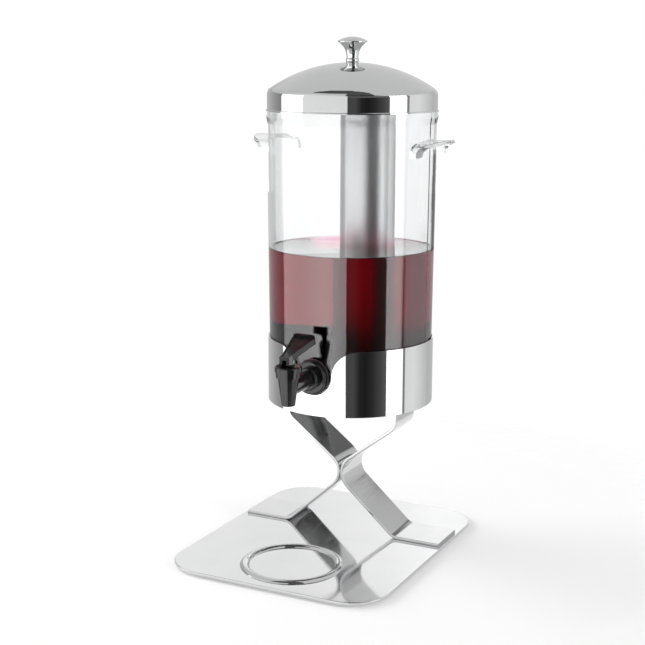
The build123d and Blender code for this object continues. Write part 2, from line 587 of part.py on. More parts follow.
def make_lid_knob():
    def at(radius, height):
        return (radius, AXIS_Y, LID_SEAT + height)

    foot = Line(at(0, 0), at(KNOB_FOOT_RADIUS, 0))
    bead = ThreePointArc(at(KNOB_FOOT_RADIUS, 0), at(KNOB_BEAD_RADIUS, KNOB_BEAD_HEIGHT),
                         at(KNOB_COLUMN_RADIUS, KNOB_COLUMN_START))
    flare_reach = KNOB_TOP_RADIUS - KNOB_COLUMN_RADIUS
    flare_rise = KNOB_RIM_HEIGHT - KNOB_COLUMN_START
    flare_points = [at(KNOB_COLUMN_RADIUS + out * flare_reach, KNOB_COLUMN_START + up * flare_rise)
                    for out, up in ((0, 0), *KNOB_FLARE_SHARES, (1, 1))]
    end_slope = radians(KNOB_FLARE_END_SLOPE)
    flare = Spline(*flare_points, tangents=[(0, 0, 1), (cos(end_slope), 0, sin(end_slope))])
    rim_top = KNOB_RIM_HEIGHT + KNOB_RIM_THICKNESS
    rim = Line(at(KNOB_TOP_RADIUS, KNOB_RIM_HEIGHT), at(KNOB_TOP_RADIUS, rim_top))
    crown_height = KNOB_HEIGHT - rim_top
    crown_radius = (KNOB_TOP_RADIUS ** 2 + crown_height ** 2) / (2 * crown_height)
    half = KNOB_TOP_RADIUS / 2
    half_height = KNOB_HEIGHT - crown_radius + sqrt(crown_radius ** 2 - half ** 2)
    crown = ThreePointArc(at(KNOB_TOP_RADIUS, rim_top), at(half, half_height), at(0, KNOB_HEIGHT))
    axis_line = Line(at(0, KNOB_HEIGHT), at(0, 0))
    knob = revolve(make_face(foot + bead + flare + rim + crown + axis_line), tank_axis)
    rim_edges = knob.edges().filter_by(GeomType.CIRCLE).sort_by(lambda edge: edge.radius)[-2:]
    knob = fillet(rim_edges, KNOB_RIM_ROUND)
    return knob - rod(KNOB_SCREW_RADIUS + FIT_PLAY, LID_SEAT - OVERRUN, LID_SEAT + KNOB_SCREW_BITE, y=AXIS_Y)


def make_knob_washer():
    top = LID_SEAT - LID_SHEET
    washer = rod(KNOB_WASHER_RADIUS, top - KNOB_WASHER_THICKNESS, top, y=AXIS_Y)
    return washer - rod(KNOB_SCREW_RADIUS + FIT_PLAY, top - OVERRUN, top + OVERRUN, y=AXIS_Y)


def make_knob_screw():
    head_top = LID_SEAT - LID_SHEET - KNOB_WASHER_THICKNESS
    head_bottom = head_top - KNOB_SCREW_HEAD_HEIGHT
    head = rod(KNOB_SCREW_HEAD_RADIUS, head_bottom, head_top, y=AXIS_Y)
    head = fillet(ends_facing(head, Axis.Z, last=False), HEAD_ROUND_SHARE * KNOB_SCREW_HEAD_HEIGHT)
    socket = hexagon(HEX_KEY_ACROSS_FLATS, head_bottom - OVERRUN, head_bottom + HEX_KEY_DEPTH, y=AXIS_Y)
    shank = rod(KNOB_SCREW_RADIUS, head_top, LID_SEAT + KNOB_SCREW_BITE - FIT_PLAY, y=AXIS_Y)
    return head - socket + shank


# Tap

def make_tap_body():
    flange_front = FLANGE_BACK + FLANGE_THICKNESS
    boss_front = flange_front + BOSS_LENGTH
    flange = tap_disc(FLANGE_RADIUS, FLANGE_BACK, flange_front)
    flange = fillet(ends_facing(flange, Axis.Y, last=False), FLANGE_ROUND)
    boss = tap_disc(BOSS_RADIUS, FLANGE_BACK, boss_front)
    boss = fillet(ends_facing(boss, Axis.Y, last=False), BOSS_ROUND)
    spout = turned([
        (0, SPOUT_TIP),
        (SPOUT_TIP_RADIUS, SPOUT_TIP),
        (SPOUT_TOP_RADIUS, SPOUT_TOP),
        (NECK_THREAD_RADIUS, SPOUT_TOP),
        (NECK_THREAD_RADIUS, SPOUT_NECK_TOP),
        (0, SPOUT_NECK_TOP),
    ], SPOUT_Y)
    spout = fillet(ends_facing(spout, Axis.Z, last=False), SPOUT_TIP_ROUND)
    body = spout + flange + boss
    body += tap_disc(BARREL_RADIUS, FLANGE_BACK, SPOUT_REACH)
    body += tap_disc(TAIL_RADIUS, TAIL_END, FLANGE_BACK)
    chamber = rod(CHAMBER_RADIUS, CHAMBER_FLOOR, SPOUT_NECK_TOP + OVERRUN, y=SPOUT_Y)
    chamber -= rod(OUTLET_RADIUS + SEAT_LIP_WIDTH, CHAMBER_FLOOR, CUP_BOTTOM, y=SPOUT_Y)
    body -= chamber
    body -= rod(OUTLET_RADIUS, SPOUT_TIP - OVERRUN, CUP_BOTTOM, y=SPOUT_Y)
    return body - tap_disc(INLET_RADIUS, TAIL_END - OVERRUN, SPOUT_REACH - OUTLET_RADIUS - SEAT_LIP_WIDTH)


def make_outer_washer():
    washer = tap_disc(OUTER_WASHER_RADIUS, TAP_PAD_FACE, FLANGE_BACK)
    return washer - tap_disc(TAIL_RADIUS + FIT_PLAY, TAP_PAD_FACE - OVERRUN, FLANGE_BACK + OVERRUN)


def make_inner_washer():
    end = TAP_PAD_INNER_FACE - INNER_WASHER_THICKNESS
    washer = tap_disc(INNER_WASHER_RADIUS, end, TAP_PAD_INNER_FACE)
    return washer - tap_disc(TAIL_RADIUS + FIT_PLAY, end - OVERRUN, TAP_PAD_INNER_FACE + OVERRUN)


def make_tap_nut():
    front = TAP_PAD_INNER_FACE - INNER_WASHER_THICKNESS
    back = front - TAP_NUT_HEIGHT
    face = Plane(origin=(0, AXIS_Y - back, TAP_HEIGHT), x_dir=(1, 0, 0), z_dir=(0, -1, 0)) * RegularPolygon(
        TAP_NUT_ACROSS_FLATS / 2, 6, major_radius=False)
    nut = extrude(face, TAP_NUT_HEIGHT)
    nut = chamfer(ends_facing(nut, Axis.Y), TAP_NUT_CHAMFER)
    return nut - tap_disc(TAIL_RADIUS + FIT_PLAY, back - OVERRUN, front + OVERRUN)


def make_bonnet_seal():
    seal = rod(NECK_THREAD_RADIUS, SPOUT_NECK_TOP, BONNET_CEILING, y=SPOUT_Y)
    return seal - rod(CHAMBER_RADIUS, SPOUT_NECK_TOP - OVERRUN, BONNET_CEILING + OVERRUN, y=SPOUT_Y)


def make_tap_bonnet():
    skirt_bottom = SPOUT_TOP + BONNET_SKIRT_GAP
    band_bottom = BONNET_TOP - BONNET_TOP_BAND
    bonnet = turned([
        (0, skirt_bottom),
        (BONNET_SKIRT_RADIUS, skirt_bottom),
        (BONNET_WAIST_RADIUS, band_bottom),
        (BONNET_TOP_RADIUS, band_bottom),
        (BONNET_TOP_RADIUS, BONNET_TOP),
        (0, BONNET_TOP),
    ], SPOUT_Y)
    bonnet = fillet(ends_facing(bonnet, Axis.Z), BONNET_BAND_ROUND)
    bonnet -= rod(NECK_THREAD_RADIUS + FIT_PLAY, skirt_bottom - OVERRUN, BONNET_CEILING, y=SPOUT_Y)
    return bonnet - rod(STEM_RADIUS + STEM_PLAY, BONNET_CEILING - OVERRUN, BONNET_TOP + OVERRUN, y=SPOUT_Y)


def make_valve_stem():
    stem = rod(STEM_RADIUS, CUP_TOP - STEM_BITE, PIN_HEIGHT, y=SPOUT_Y)
    side = Plane(origin=(0, SPOUT_Y, PIN_HEIGHT), x_dir=(0, 1, 0), z_dir=(1, 0, 0))
    eye_bottom = BONNET_TOP + STEM_EYE_START - PIN_HEIGHT
    eye = Circle(STEM_EYE_RADIUS) + Pos(0, eye_bottom / 2) * Rectangle(2 * STEM_EYE_RADIUS, -eye_bottom)
    stem += extrude(side * eye, STEM_EYE_WIDTH / 2, both=True)
    return stem - extrude(side * Circle(PIN_RADIUS + PIN_PLAY), STEM_EYE_WIDTH, both=True)


def make_seat_cup():
    rim = CUP_TOP - CUP_RIM_HEIGHT
    cup = turned([
        (0, CUP_BOTTOM),
        (CUP_LIP_RADIUS, CUP_BOTTOM),
        (CUP_WAIST_RADIUS, (CUP_BOTTOM + rim) / 2),
        (CUP_RADIUS, rim),
        (CUP_RADIUS, CUP_TOP),
        (0, CUP_TOP),
    ], SPOUT_Y)
    return cup - rod(STEM_RADIUS + FIT_PLAY, CUP_TOP - STEM_BITE, CUP_TOP + OVERRUN, y=SPOUT_Y)


def make_valve_spring():
    start = CUP_TOP + SPRING_WIRE_RADIUS + SPRING_END_PLAY
    height = BONNET_CEILING - SPRING_WIRE_RADIUS - SPRING_END_PLAY - start
    coil = Pos(0, SPOUT_Y, start) * Helix(height / SPRING_TURNS, height, SPRING_RADIUS)
    wire = Plane(origin=coil @ 0, z_dir=coil % 0) * Circle(SPRING_WIRE_RADIUS)
    return sweep(wire, path=coil, is_frenet=True)


def cam_points():
    """The cam feet's outline from the pin, as (forward and back, up and down) points.

    With the lever turned by an angle, the foot's lowest point lies below the pin by the pin's rise,
    less the clearance, so the feet stay on the bonnet while the pin rises evenly with the angle.
    """
    rate = VALVE_LIFT / radians(LEVER_TRAVEL)
    points = []
    for step in range(CAM_STEPS + 1):
        angle = radians(LEVER_TRAVEL) * step / CAM_STEPS
        reach = PIN_RISE - CAM_CLEARANCE + rate * angle
        points.append((-reach * sin(angle) - rate * cos(angle), -reach * cos(angle) + rate * sin(angle)))
    return points


def make_tap_lever():
    tilt = radians(LEVER_TILT)
    pin = (0, SPOUT_Y, PIN_HEIGHT)
    along = Plane(origin=pin, x_dir=(1, 0, 0), z_dir=(0, -sin(tilt), cos(tilt)))
    side = Plane(origin=pin, x_dir=(0, 1, 0), z_dir=(1, 0, 0))
    underside = LEVER_TOP_RISE - LEVER_PLATE
    lever = extrude(along.offset(underside) * paddle_outline(0), LEVER_PLATE)
    end_strip = Pos(0, LEVER_LENGTH) * Rectangle(2 * LEVER_END_HALF_WIDTH, 2 * LEVER_LIP_WIDTH)
    lip = along.offset(underside) * (paddle_outline(0) & end_strip)
    lever += extrude(lip, LEVER_PLATE + LEVER_LIP_HEIGHT)
    dish = along.offset(LEVER_TOP_RISE - LEVER_DISH_DEPTH) * (paddle_outline(LEVER_DISH_MARGIN) - end_strip)
    lever -= extrude(dish, LEVER_DISH_DEPTH + OVERRUN)
    ribs = paddle_outline(0) - paddle_outline(LEVER_RIB_WIDTH)
    lever += extrude(along.offset(underside - LEVER_RIB_DEPTH) * ribs, LEVER_RIB_DEPTH)
    lever += extrude(side * foot_outline(), LEVER_ROOT_HALF_WIDTH, both=True)
    slot_front = LEVER_NOSE + OVERRUN
    slot_back = FORK_BACK + OVERRUN
    slot_depth = PIN_RISE + OVERRUN
    slot = Pos(0, (slot_back - slot_front) / 2) * Rectangle(2 * FORK_HALF_GAP, slot_back + slot_front)
    lever -= extrude(along.offset(-slot_depth) * slot, slot_depth + underside)
    return lever - extrude(side * Circle(PIN_RADIUS), LEVER_END_HALF_WIDTH, both=True)


def paddle_outline(inset):
    """The lever's plate seen square to it, or the space inside its ribs."""
    root = LEVER_ROOT_HALF_WIDTH - inset
    end = LEVER_END_HALF_WIDTH - inset
    nose = -LEVER_NOSE + inset
    tip = LEVER_LENGTH - inset
    face = make_face(Polyline(
        (-root, nose), (root, nose), (root, 0), (end, tip), (-end, tip), (-root, 0), close=True))
    far_corners = face.vertices().group_by(Axis.Y)[-1]
    return fillet(far_corners, LEVER_END_ROUND - inset)


def foot_outline():
    """The fork's feet seen from the side, with the cam in front and a rounded heel behind."""
    tilt = radians(LEVER_TILT)
    cam = cam_points()
    top_rise = (LEVER_TOP_RISE - LEVER_PLATE / 2) / cos(tilt)
    heel = -PIN_RISE + CAM_CLEARANCE
    front = (-LEVER_NOSE * cos(tilt), top_rise - LEVER_NOSE * sin(tilt))
    back = (FORK_BACK, top_rise + FORK_BACK * tan(tilt))
    curve = Spline(*cam)
    outline = curve + Polyline(cam[-1], front, back, (FORK_BACK, heel), cam[0])
    face = make_face(outline)
    heel_corner = face.vertices().sort_by_distance((FORK_BACK, heel))[0]
    return fillet(heel_corner, FORK_HEEL_ROUND)


def make_lever_pin():
    side = Plane(origin=(0, SPOUT_Y, PIN_HEIGHT), x_dir=(0, 1, 0), z_dir=(1, 0, 0))
    return extrude(side * Circle(PIN_RADIUS), LEVER_ROOT_HALF_WIDTH + PIN_OVERHANG, both=True)


def write(name, shape):
    """One STEP file for a node, which may be several like solids."""
    solids = shape if isinstance(shape, list) else [shape]
    bodies = [solid for item in solids for solid in item.solids()]
    export_step(bodies[0] if len(bodies) == 1 else Compound(children=bodies), f"parts/{name}.step")


def main():
    os.makedirs("parts", exist_ok=True)
    strip_right = make_strip_right()
    handle_right = make_handle_right()
    write("base_plate", make_base_plate())
    write("plate_feet", make_plate_feet())
    write("foot_screws", make_foot_screws())
    write("stand_strip_right", strip_right)
    write("stand_strip_left", mirror(strip_right, about=Plane.YZ))
    write("shroud", make_shroud())
    write("shroud_floor", make_shroud_floor())
    write("shroud_screws", make_shroud_screws())
    write("shroud_nuts", make_shroud_nuts())
    write("tank", make_tank())
    write("handle_right", handle_right)
    write("handle_left", mirror(handle_right, about=Plane.YZ))
    write("ice_tube", make_ice_tube())
    write("lid", make_lid())
    write("lid_knob", make_lid_knob())
    write("knob_washer", make_knob_washer())
    write("knob_screw", make_knob_screw())
    write("tap_body", make_tap_body())
    write("outer_washer", make_outer_washer())
    write("inner_washer", make_inner_washer())
    write("tap_nut", make_tap_nut())
    write("bonnet_seal", make_bonnet_seal())
    write("tap_bonnet", make_tap_bonnet())
    write("valve_stem", make_valve_stem())
    write("seat_cup", make_seat_cup())
    write("valve_spring", make_valve_spring())
    write("tap_lever", make_tap_lever())
    write("lever_pin", make_lever_pin())


main()
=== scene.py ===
from math import atan2, cos, degrees, pi, radians, sin

import bmesh
import bpy
from mathutils import Matrix, Vector


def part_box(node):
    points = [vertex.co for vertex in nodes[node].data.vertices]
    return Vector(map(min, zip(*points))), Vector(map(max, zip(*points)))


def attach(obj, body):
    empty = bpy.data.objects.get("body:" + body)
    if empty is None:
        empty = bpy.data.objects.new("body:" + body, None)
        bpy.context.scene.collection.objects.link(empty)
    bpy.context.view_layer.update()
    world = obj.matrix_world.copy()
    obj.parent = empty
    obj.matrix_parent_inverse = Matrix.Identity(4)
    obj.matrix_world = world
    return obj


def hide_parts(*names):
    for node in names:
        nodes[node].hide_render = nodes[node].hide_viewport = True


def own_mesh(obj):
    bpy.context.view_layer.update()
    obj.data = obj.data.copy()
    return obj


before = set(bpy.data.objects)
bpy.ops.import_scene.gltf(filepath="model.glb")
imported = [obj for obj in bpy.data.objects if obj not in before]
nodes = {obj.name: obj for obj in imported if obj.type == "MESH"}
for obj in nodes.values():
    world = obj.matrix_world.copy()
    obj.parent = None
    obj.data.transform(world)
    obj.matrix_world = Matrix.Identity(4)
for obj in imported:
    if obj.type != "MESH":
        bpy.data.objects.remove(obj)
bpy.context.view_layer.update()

# The tank's axis, which is the shroud's. The juice, the floor, the lamps and the cards are set out round it
shroud_low, shroud_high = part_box("shroud")
shroud_radius = (shroud_high.x - shroud_low.x) / 2
AXIS = Vector(((shroud_low.x + shroud_high.x) / 2, shroud_high.y - shroud_radius, 0))

# Camera, as in the photograph
CAMERA_PLACE = (0.56849, -1.13735, 0.49398)
CAMERA_YAW = 26.80              # degrees, turned left from looking along +Y
CAMERA_PITCH = -11.86
CAMERA_ROLL = 0.13
CAMERA_LENS = 74.5              # millimetres, on a sensor of CAMERA_SENSOR
CAMERA_SENSOR = 36.0
CAMERA_CLIP = 0.05              # nothing nearer than this shows
VIEW_AZIMUTH = degrees(atan2(CAMERA_PLACE[0] - AXIS.x, AXIS.y - CAMERA_PLACE[1]))

# Materials
WHITE = (1, 1, 1, 1)
EVEN = (1, 1, 1)                # a noise as it is; the grains squeeze it along X, Y or Z
SHEET_GRAIN = (1.0, 1.0, 14.0)
AROUND_GRAIN = (1.0, 1.0, 30.0)
ALONG_GRAIN = (30.0, 1.0, 1.0)
NOISE_LOW = 0.3                 # nearly all of a noise's values lie between these
NOISE_HIGH = 0.7
STEEL_TINT = (0.95, 0.955, 0.965)       # of the darker clouds on polished steel
SILICONE_DEPTH = (0.002, 0.002, 0.002)  # how far light spreads inside it

# Juice in the tank
TANK_CORNER = 0.006             # radius between the tank's floor and its wall
CORNER_STEP = 15                # degrees
WALL_SHARE = 0.9                # of the tank's radius; its points nearer to the axis aren't of its wall
HEIGHT_PLAY = 0.0002            # between two points that count as equally high
JUICE_HEIGHT = 0.2949
JUICE_OVERLAP = 0.00012         # into the tank's wall, so that no air shows between them
JUICE_COLOUR = (0.845, 0.143, 0.53)
JUICE_DENSITY = 70.0
MENISCUS = 0.0012               # its height over the juice's level
MENISCUS_POINTS = [(0, 1), (0.35, 0.4), (0.9, 0.1), (1.8, 0)]   # (inwards, up), in shares of its height
TURN_STEPS = 192                # faces round a turned mesh
SHARP_ANGLE = 35                # degrees, the least turn that shows as an edge on a new mesh

# Studio floor and world
FLOOR_RADIUS = 0.48
FLOOR_SEGMENTS = 96
FLOOR_FADE_START = 0.3          # the floor fades out from this radius to its rim
FLOOR_SHADE = 0.86
FLOOR_ROUGHNESS = 0.9
FLOOR_GLOW = 0.22               # added where the floor is seen, so that it is white outside the shadow
WORLD_LIGHT = 0.56              # strength of the world's light on the object
WORLD_SEEN = 1.0                # strength of the world where it is seen

# Heights of the cards' edges
CARD_LOW = -1.5
LEFT_LINE = 0.29                # over it the lid sees a paler card on the left
DARK_LINE = 0.42                # over it the dark room is a little less dark
BACK_LINE = 0.46
CARD_HIGH = 1.2
CARD_TOP = 2.0
FLAG_DROP = 0.02                # from the ceiling to the flag under it

# Distances from the axis, and faces
CARD_DISTANCE = 2.4
CARD_STEP = 3                   # degrees to a face of a card
CEILING_STEP = 10               # degrees to a side of the ceiling

# How a card is seen. It never shows to the camera, and throws no shadow and no light on matt surfaces
GLASS = False                   # in reflections and through glass
MIRROR = True                   # in reflections only
HALF_BOUNCE = 0.5               # a ray with more bounces than this has been reflected

# Cards round the tank: name, how it is seen, distance, lower and upper edge, and (azimuth, shade) stops.
# Azimuths are degrees from the camera's side, positive to the right in the picture. A shade of 1 is white
CARDS = [
    ("left wall", GLASS, CARD_DISTANCE, CARD_LOW, CARD_HIGH, [(-168, 0.62), (-140, 0.55), (-106, 0.3)]),
    ("left white", GLASS, CARD_DISTANCE, CARD_LOW, CARD_HIGH, [(-106, 1.8), (-67, 2.1)]),
    ("left white low", GLASS, CARD_DISTANCE, CARD_LOW, LEFT_LINE,
     [(-67, 2.1), (-37, 2.7), (-21, 2.3), (-6, 1.6)]),
    ("left pale", GLASS, CARD_DISTANCE, LEFT_LINE, CARD_HIGH, [(-67, 1.05), (-6, 1.0)]),
    ("dark room", MIRROR, CARD_DISTANCE, CARD_LOW, DARK_LINE,
     [(-6, 0.08), (4, 0.085), (12, 0.025), (20, 0.016), (30, 0.032), (42, 0.08), (50, 0.14)]),
    ("dim room", MIRROR, CARD_DISTANCE, DARK_LINE, CARD_HIGH, [(-6, 0.13), (50, 0.16)]),
    ("right white", GLASS, CARD_DISTANCE, CARD_LOW, CARD_HIGH, [(50, 2.4), (70, 2.3), (76, 1.7)]),
    ("right edge", GLASS, CARD_DISTANCE, CARD_LOW, CARD_HIGH, [(76, 0.3), (80, 0.3)]),
    ("right wall", GLASS, CARD_DISTANCE, CARD_LOW, CARD_HIGH,
     [(80, 1.0), (97, 1.03), (135, 0.62), (150, 0.62)]),
    ("back wall", MIRROR, CARD_DISTANCE, CARD_LOW, BACK_LINE, [(150, 0.6), (192, 0.6)]),
    ("back wall above", MIRROR, CARD_DISTANCE, BACK_LINE, CARD_HIGH, [(150, 0.73), (192, 0.73)]),
    # The next five stand nearer, behind. The plate and the strips see the first, the juice the second, and
    # the strips' arms and feet the dark flags
    ("back white", MIRROR, 1.0, 0.24, 0.53,
     [(164, 1.3), (171, 1.35), (176, 1.2), (186, 1.08), (204, 1.15)]),
    ("juice white", MIRROR, 0.5, 0.345, 0.392, [(162, 1.6), (198, 1.6)]),
    ("arm flag", MIRROR, 0.4, 0.235, 0.375, [(136, 0.13), (148, 0.17), (158, 0.15)]),
    ("foot flag", MIRROR, 0.6, 0.262, 0.345, [(138, 0.04), (144, 0.03)]),
    ("foot flag low", MIRROR, 0.6, 0.245, 0.31, [(135.2, 0.04), (138, 0.04)]),
    # The dome sees the last three
    ("left wall above", MIRROR, CARD_DISTANCE, CARD_HIGH, CARD_TOP, [(-106, 0.73), (-60, 1.0), (-9, 0.8)]),
    ("dark room above", MIRROR, CARD_DISTANCE, CARD_HIGH, CARD_TOP, [(-9, 0.05), (15, 0.03), (30, 0.05)]),
    ("grey room above", MIRROR, CARD_DISTANCE, CARD_HIGH, CARD_TOP, [(30, 0.3), (45, 0.73), (254, 0.73)]),
]

# Flat cards over the tank, seen in reflections only: name, height, shade and (azimuth, distance) corners
CEILINGS = [
    ("ceiling", CARD_TOP, 0.73, [(azimuth, CARD_DISTANCE) for azimuth in range(0, 360, CEILING_STEP)]),
    ("ceiling flag", CARD_TOP - FLAG_DROP, 0.1,
     [(198, 0.56), (-70, 1.3), (-40, 1.3), (-9, 1.3), (-9, 2.35), (12, 2.35), (30, 2.35)]),
]

# Lamps that face the axis: name, azimuth, distance, height, width, height of the lit face, watts
SOFTBOXES = [
    ("left softbox", -115, 1.7, 0.7, 1.3, 1.3, 36),
    ("right softbox", 63, 1.7, 0.6, 0.75, 1.3, 12),
]

GLASS_BOUNCES = 32              # enough for the walls of the tank, the juice and the handles in a row
MIRROR_BOUNCES = 12


# Small helpers for node trees and objects

class Nodes:
    """A node tree, with short calls that add nodes to it and join them up."""

    def __init__(self, tree):
        self.tree = tree

    def feed(self, socket, value):
        """Joins an output to a socket, or sets the socket to a constant."""
        if isinstance(value, bpy.types.NodeSocket):
            self.tree.links.new(value, socket)
        else:
            socket.default_value = value

    def add(self, kind, inputs, **settings):
        """A new node, with its settings, and its inputs by their names or numbers."""
        node = self.tree.nodes.new("ShaderNode" + kind)
        for name, value in settings.items():
            setattr(node, name, value)
        for name, value in inputs.items():
            self.feed(node.inputs[name], value)
        return node

    def seen(self, *kinds):
        """1 for a ray of any of the kinds that Light Path names, and 0 for others."""
        path = self.add("LightPath", {})
        value = path.outputs[kinds[0]]
        for kind in kinds[1:]:
            value = self.add("Math", {0: value, 1: path.outputs[kind]}, operation="MAXIMUM").outputs["Value"]
        return value


class Shader(Nodes):
    """The nodes of a new material."""

    def __init__(self, name):
        self.material = bpy.data.materials.new(name)
        self.material.use_nodes = True
        super().__init__(self.material.node_tree)
        self.surface = self.tree.nodes["Principled BSDF"]
        self.output = self.tree.nodes["Material Output"]

    def set(self, **values):
        """Feeds the surface's sockets, whose names are written with _ for a space."""
        for name, value in values.items():
            self.feed(self.surface.inputs[name.replace("_", " ")], value)

    def noise(self, scale, detail, roughness=0.5, grain=EVEN):
        """A noise fixed to the object, squeezed by a grain."""
        place = self.add("TexCoord", {}).outputs["Object"]
        grained = self.add("Mapping", {"Vector": place, "Scale": grain}).outputs["Vector"]
        return self.add("TexNoise", {"Vector": grained, "Scale": scale, "Detail": detail,
                                     "Roughness": roughness}).outputs["Fac"]

    def spread(self, noise, low, high):
        """A noise spread to a range of numbers."""
        return self.add("MapRange", {"Value": noise, "From Min": NOISE_LOW, "From Max": NOISE_HIGH,
                                     "To Min": low, "To Max": high}).outputs["Result"]

    def tint(self, noise, low, high):
        """A noise spread between two colours."""
        node = self.add("ValToRGB", {"Fac": noise})
        stops = ((NOISE_LOW, low), (NOISE_HIGH, high))
        for element, (position, colour) in zip(node.color_ramp.elements, stops):
            element.position = position
            element.color = (*colour, 1)
        return node.outputs["Color"]

    def bump(self, noise, height):
        bump = self.add("Bump", {"Height": noise, "Distance": height, "Strength": 1.0})
        self.set(Normal=bump.outputs["Normal"])

    def clear(self):
        """A surface that shows only what is behind it."""
        return self.add("BsdfTransparent", {}).outputs["BSDF"]

    def mix(self, share, first, second):
        """A surface that turns into another as the share goes from 0 to 1."""
        return self.add("MixShader", {"Fac": share, 1: first, 2: second}).outputs["Shader"]


def add_object(name, data):
    piece = bpy.data.objects.new(name, data)
    bpy.context.scene.collection.objects.link(piece)
    return piece


def add_mesh(name, mesh):
    """An object of a bmesh, which is used up."""
    data = bpy.data.meshes.new(name)
    mesh.to_mesh(data)
    mesh.free()
    return add_object(name, data)


def paint(material, *names):
    """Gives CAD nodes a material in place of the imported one."""
    for name in names:
        slots = nodes[name].material_slots
        for material_slot in slots:
            material_slot.material = material
        if not slots:
            nodes[name].data.materials.append(material)


# Materials

def cloudy(name, scale, detail, colours, roughness, **values):
    """A material whose colour and roughness vary together in soft clouds, and the clouds."""
    shader = Shader(name)
    cloud = shader.noise(scale, detail)
    shader.set(Base_Color=shader.tint(cloud, *colours), Roughness=shader.spread(cloud, *roughness),
               **values)
    return shader, cloud


def polished_steel(name, grain, gloss, shade, uneven=0.45, ridge=0.000004):
    """Polished stainless steel, with the faint drawn grain and cloudiness that polishing leaves. Its
    roughness is gloss, more or less by the share uneven, and its grain stands up by ridge."""
    steel = Shader(name)
    cloud = steel.noise(scale=22.0, detail=4.0)
    streaks = steel.noise(scale=60.0, detail=5.0, roughness=0.6, grain=grain)
    steel.set(Metallic=1.0,
              Base_Color=steel.tint(cloud, [shade * part for part in STEEL_TINT], [shade, shade, shade]),
              Roughness=steel.spread(streaks, gloss * (1 - uneven), gloss * (1 + uneven)))
    steel.bump(streaks, ridge)
    return steel.material


def plain_steel():
    """Satin steel of the screws, the nuts, the knob's washer, the spring and the lever's pin."""
    steel, _ = cloudy("plain steel", scale=60.0, detail=4.0, colours=([0.42, 0.42, 0.43], [0.6, 0.6, 0.61]),
                      roughness=(0.25, 0.4), Metallic=1.0)
    steel.bump(steel.noise(scale=900.0, detail=3.0), height=0.00001)
    return steel.material


def clear_plastic():
    """Clear moulded plastic, with a very slight haze that varies over the wall."""
    clear, _ = cloudy("clear plastic", scale=9.0, detail=2.0,
                      colours=([0.965, 0.975, 0.98], [0.985, 0.99, 0.99]), roughness=(0.0, 0.012),
                      IOR=1.52, Transmission_Weight=1.0)
    return clear.material


def black_plastic():
    """Black gloss plastic with a faint moulded texture."""
    black, _ = cloudy("black plastic", scale=120.0, detail=4.0,
                      colours=([0.006, 0.006, 0.007], [0.014, 0.014, 0.015]), roughness=(0.06, 0.12), IOR=1.5)
    black.bump(black.noise(scale=1500.0, detail=2.0), height=0.000006)
    return black.material


def silicone():
    """Translucent silicone of the inner washer, the seal and the seat cup."""
    soft, _ = cloudy("silicone", scale=150.0, detail=3.0, colours=([0.72, 0.73, 0.74], [0.84, 0.85, 0.86]),
                     roughness=(0.3, 0.45), IOR=1.42, Transmission_Weight=0.55, Subsurface_Weight=0.2,
                     Subsurface_Radius=SILICONE_DEPTH)
    return soft.material


def dark_rubber():
    """Matt dark rubber of the plate's pads and of the washer outside the tank."""
    rubber, cloud = cloudy("dark rubber", scale=300.0, detail=4.0,
                           colours=([0.018, 0.018, 0.018], [0.04, 0.04, 0.04]), roughness=(0.65, 0.85))
    rubber.bump(cloud, height=0.00005)
    return rubber.material


def juice():
    """Clear red juice, coloured by its depth."""
    liquid = Shader("juice")
    sediment = liquid.noise(scale=14.0, detail=2.0, grain=(1, 1, 0.5))
    liquid.set(IOR=1.34, Transmission_Weight=1.0, Roughness=0.0,
               Base_Color=liquid.tint(sediment, [0.97, 0.95, 0.95], [1.0, 0.98, 0.98]))
    depth = liquid.add("VolumeAbsorption", {"Color": (*JUICE_COLOUR, 1), "Density": JUICE_DENSITY})
    liquid.feed(liquid.output.inputs["Volume"], depth.outputs["Volume"])
    return liquid.material


def paint_all():
    paint(polished_steel("shroud steel", AROUND_GRAIN, gloss=0.03, shade=0.68), "shroud")
    paint(polished_steel("lid steel", AROUND_GRAIN, gloss=0.03, shade=0.68), "lid", "lid_knob")
    paint(polished_steel("tube steel", AROUND_GRAIN, gloss=0.38, shade=0.57, uneven=0.12, ridge=0.0000006),
          "ice_tube")
    paint(polished_steel("strip steel", SHEET_GRAIN, gloss=0.12, shade=0.66),
          "stand_strip_right", "stand_strip_left")
    paint(polished_steel("plate steel", ALONG_GRAIN, gloss=0.07, shade=0.68), "base_plate")
    # Painted shade: the shroud floor's steel is given a dark colour that stands in for the shade under the
    # shroud, where polished steel would show the bright table
    paint(polished_steel("floor steel painted dark for shade", AROUND_GRAIN, gloss=0.25, shade=0.25), "shroud_floor")
    paint(plain_steel(), "foot_screws", "shroud_screws", "shroud_nuts", "knob_screw",
          "knob_washer", "valve_spring", "lever_pin")
    paint(clear_plastic(), "tank", "handle_right", "handle_left")
    paint(black_plastic(), "tap_body", "tap_bonnet", "tap_lever", "tap_nut", "valve_stem")
    paint(silicone(), "inner_washer", "bonnet_seal", "seat_cup")
    paint(dark_rubber(), "plate_feet", "outer_washer")


# Juice: one solid of revolution, in which the ice tube and the tap's tail stand

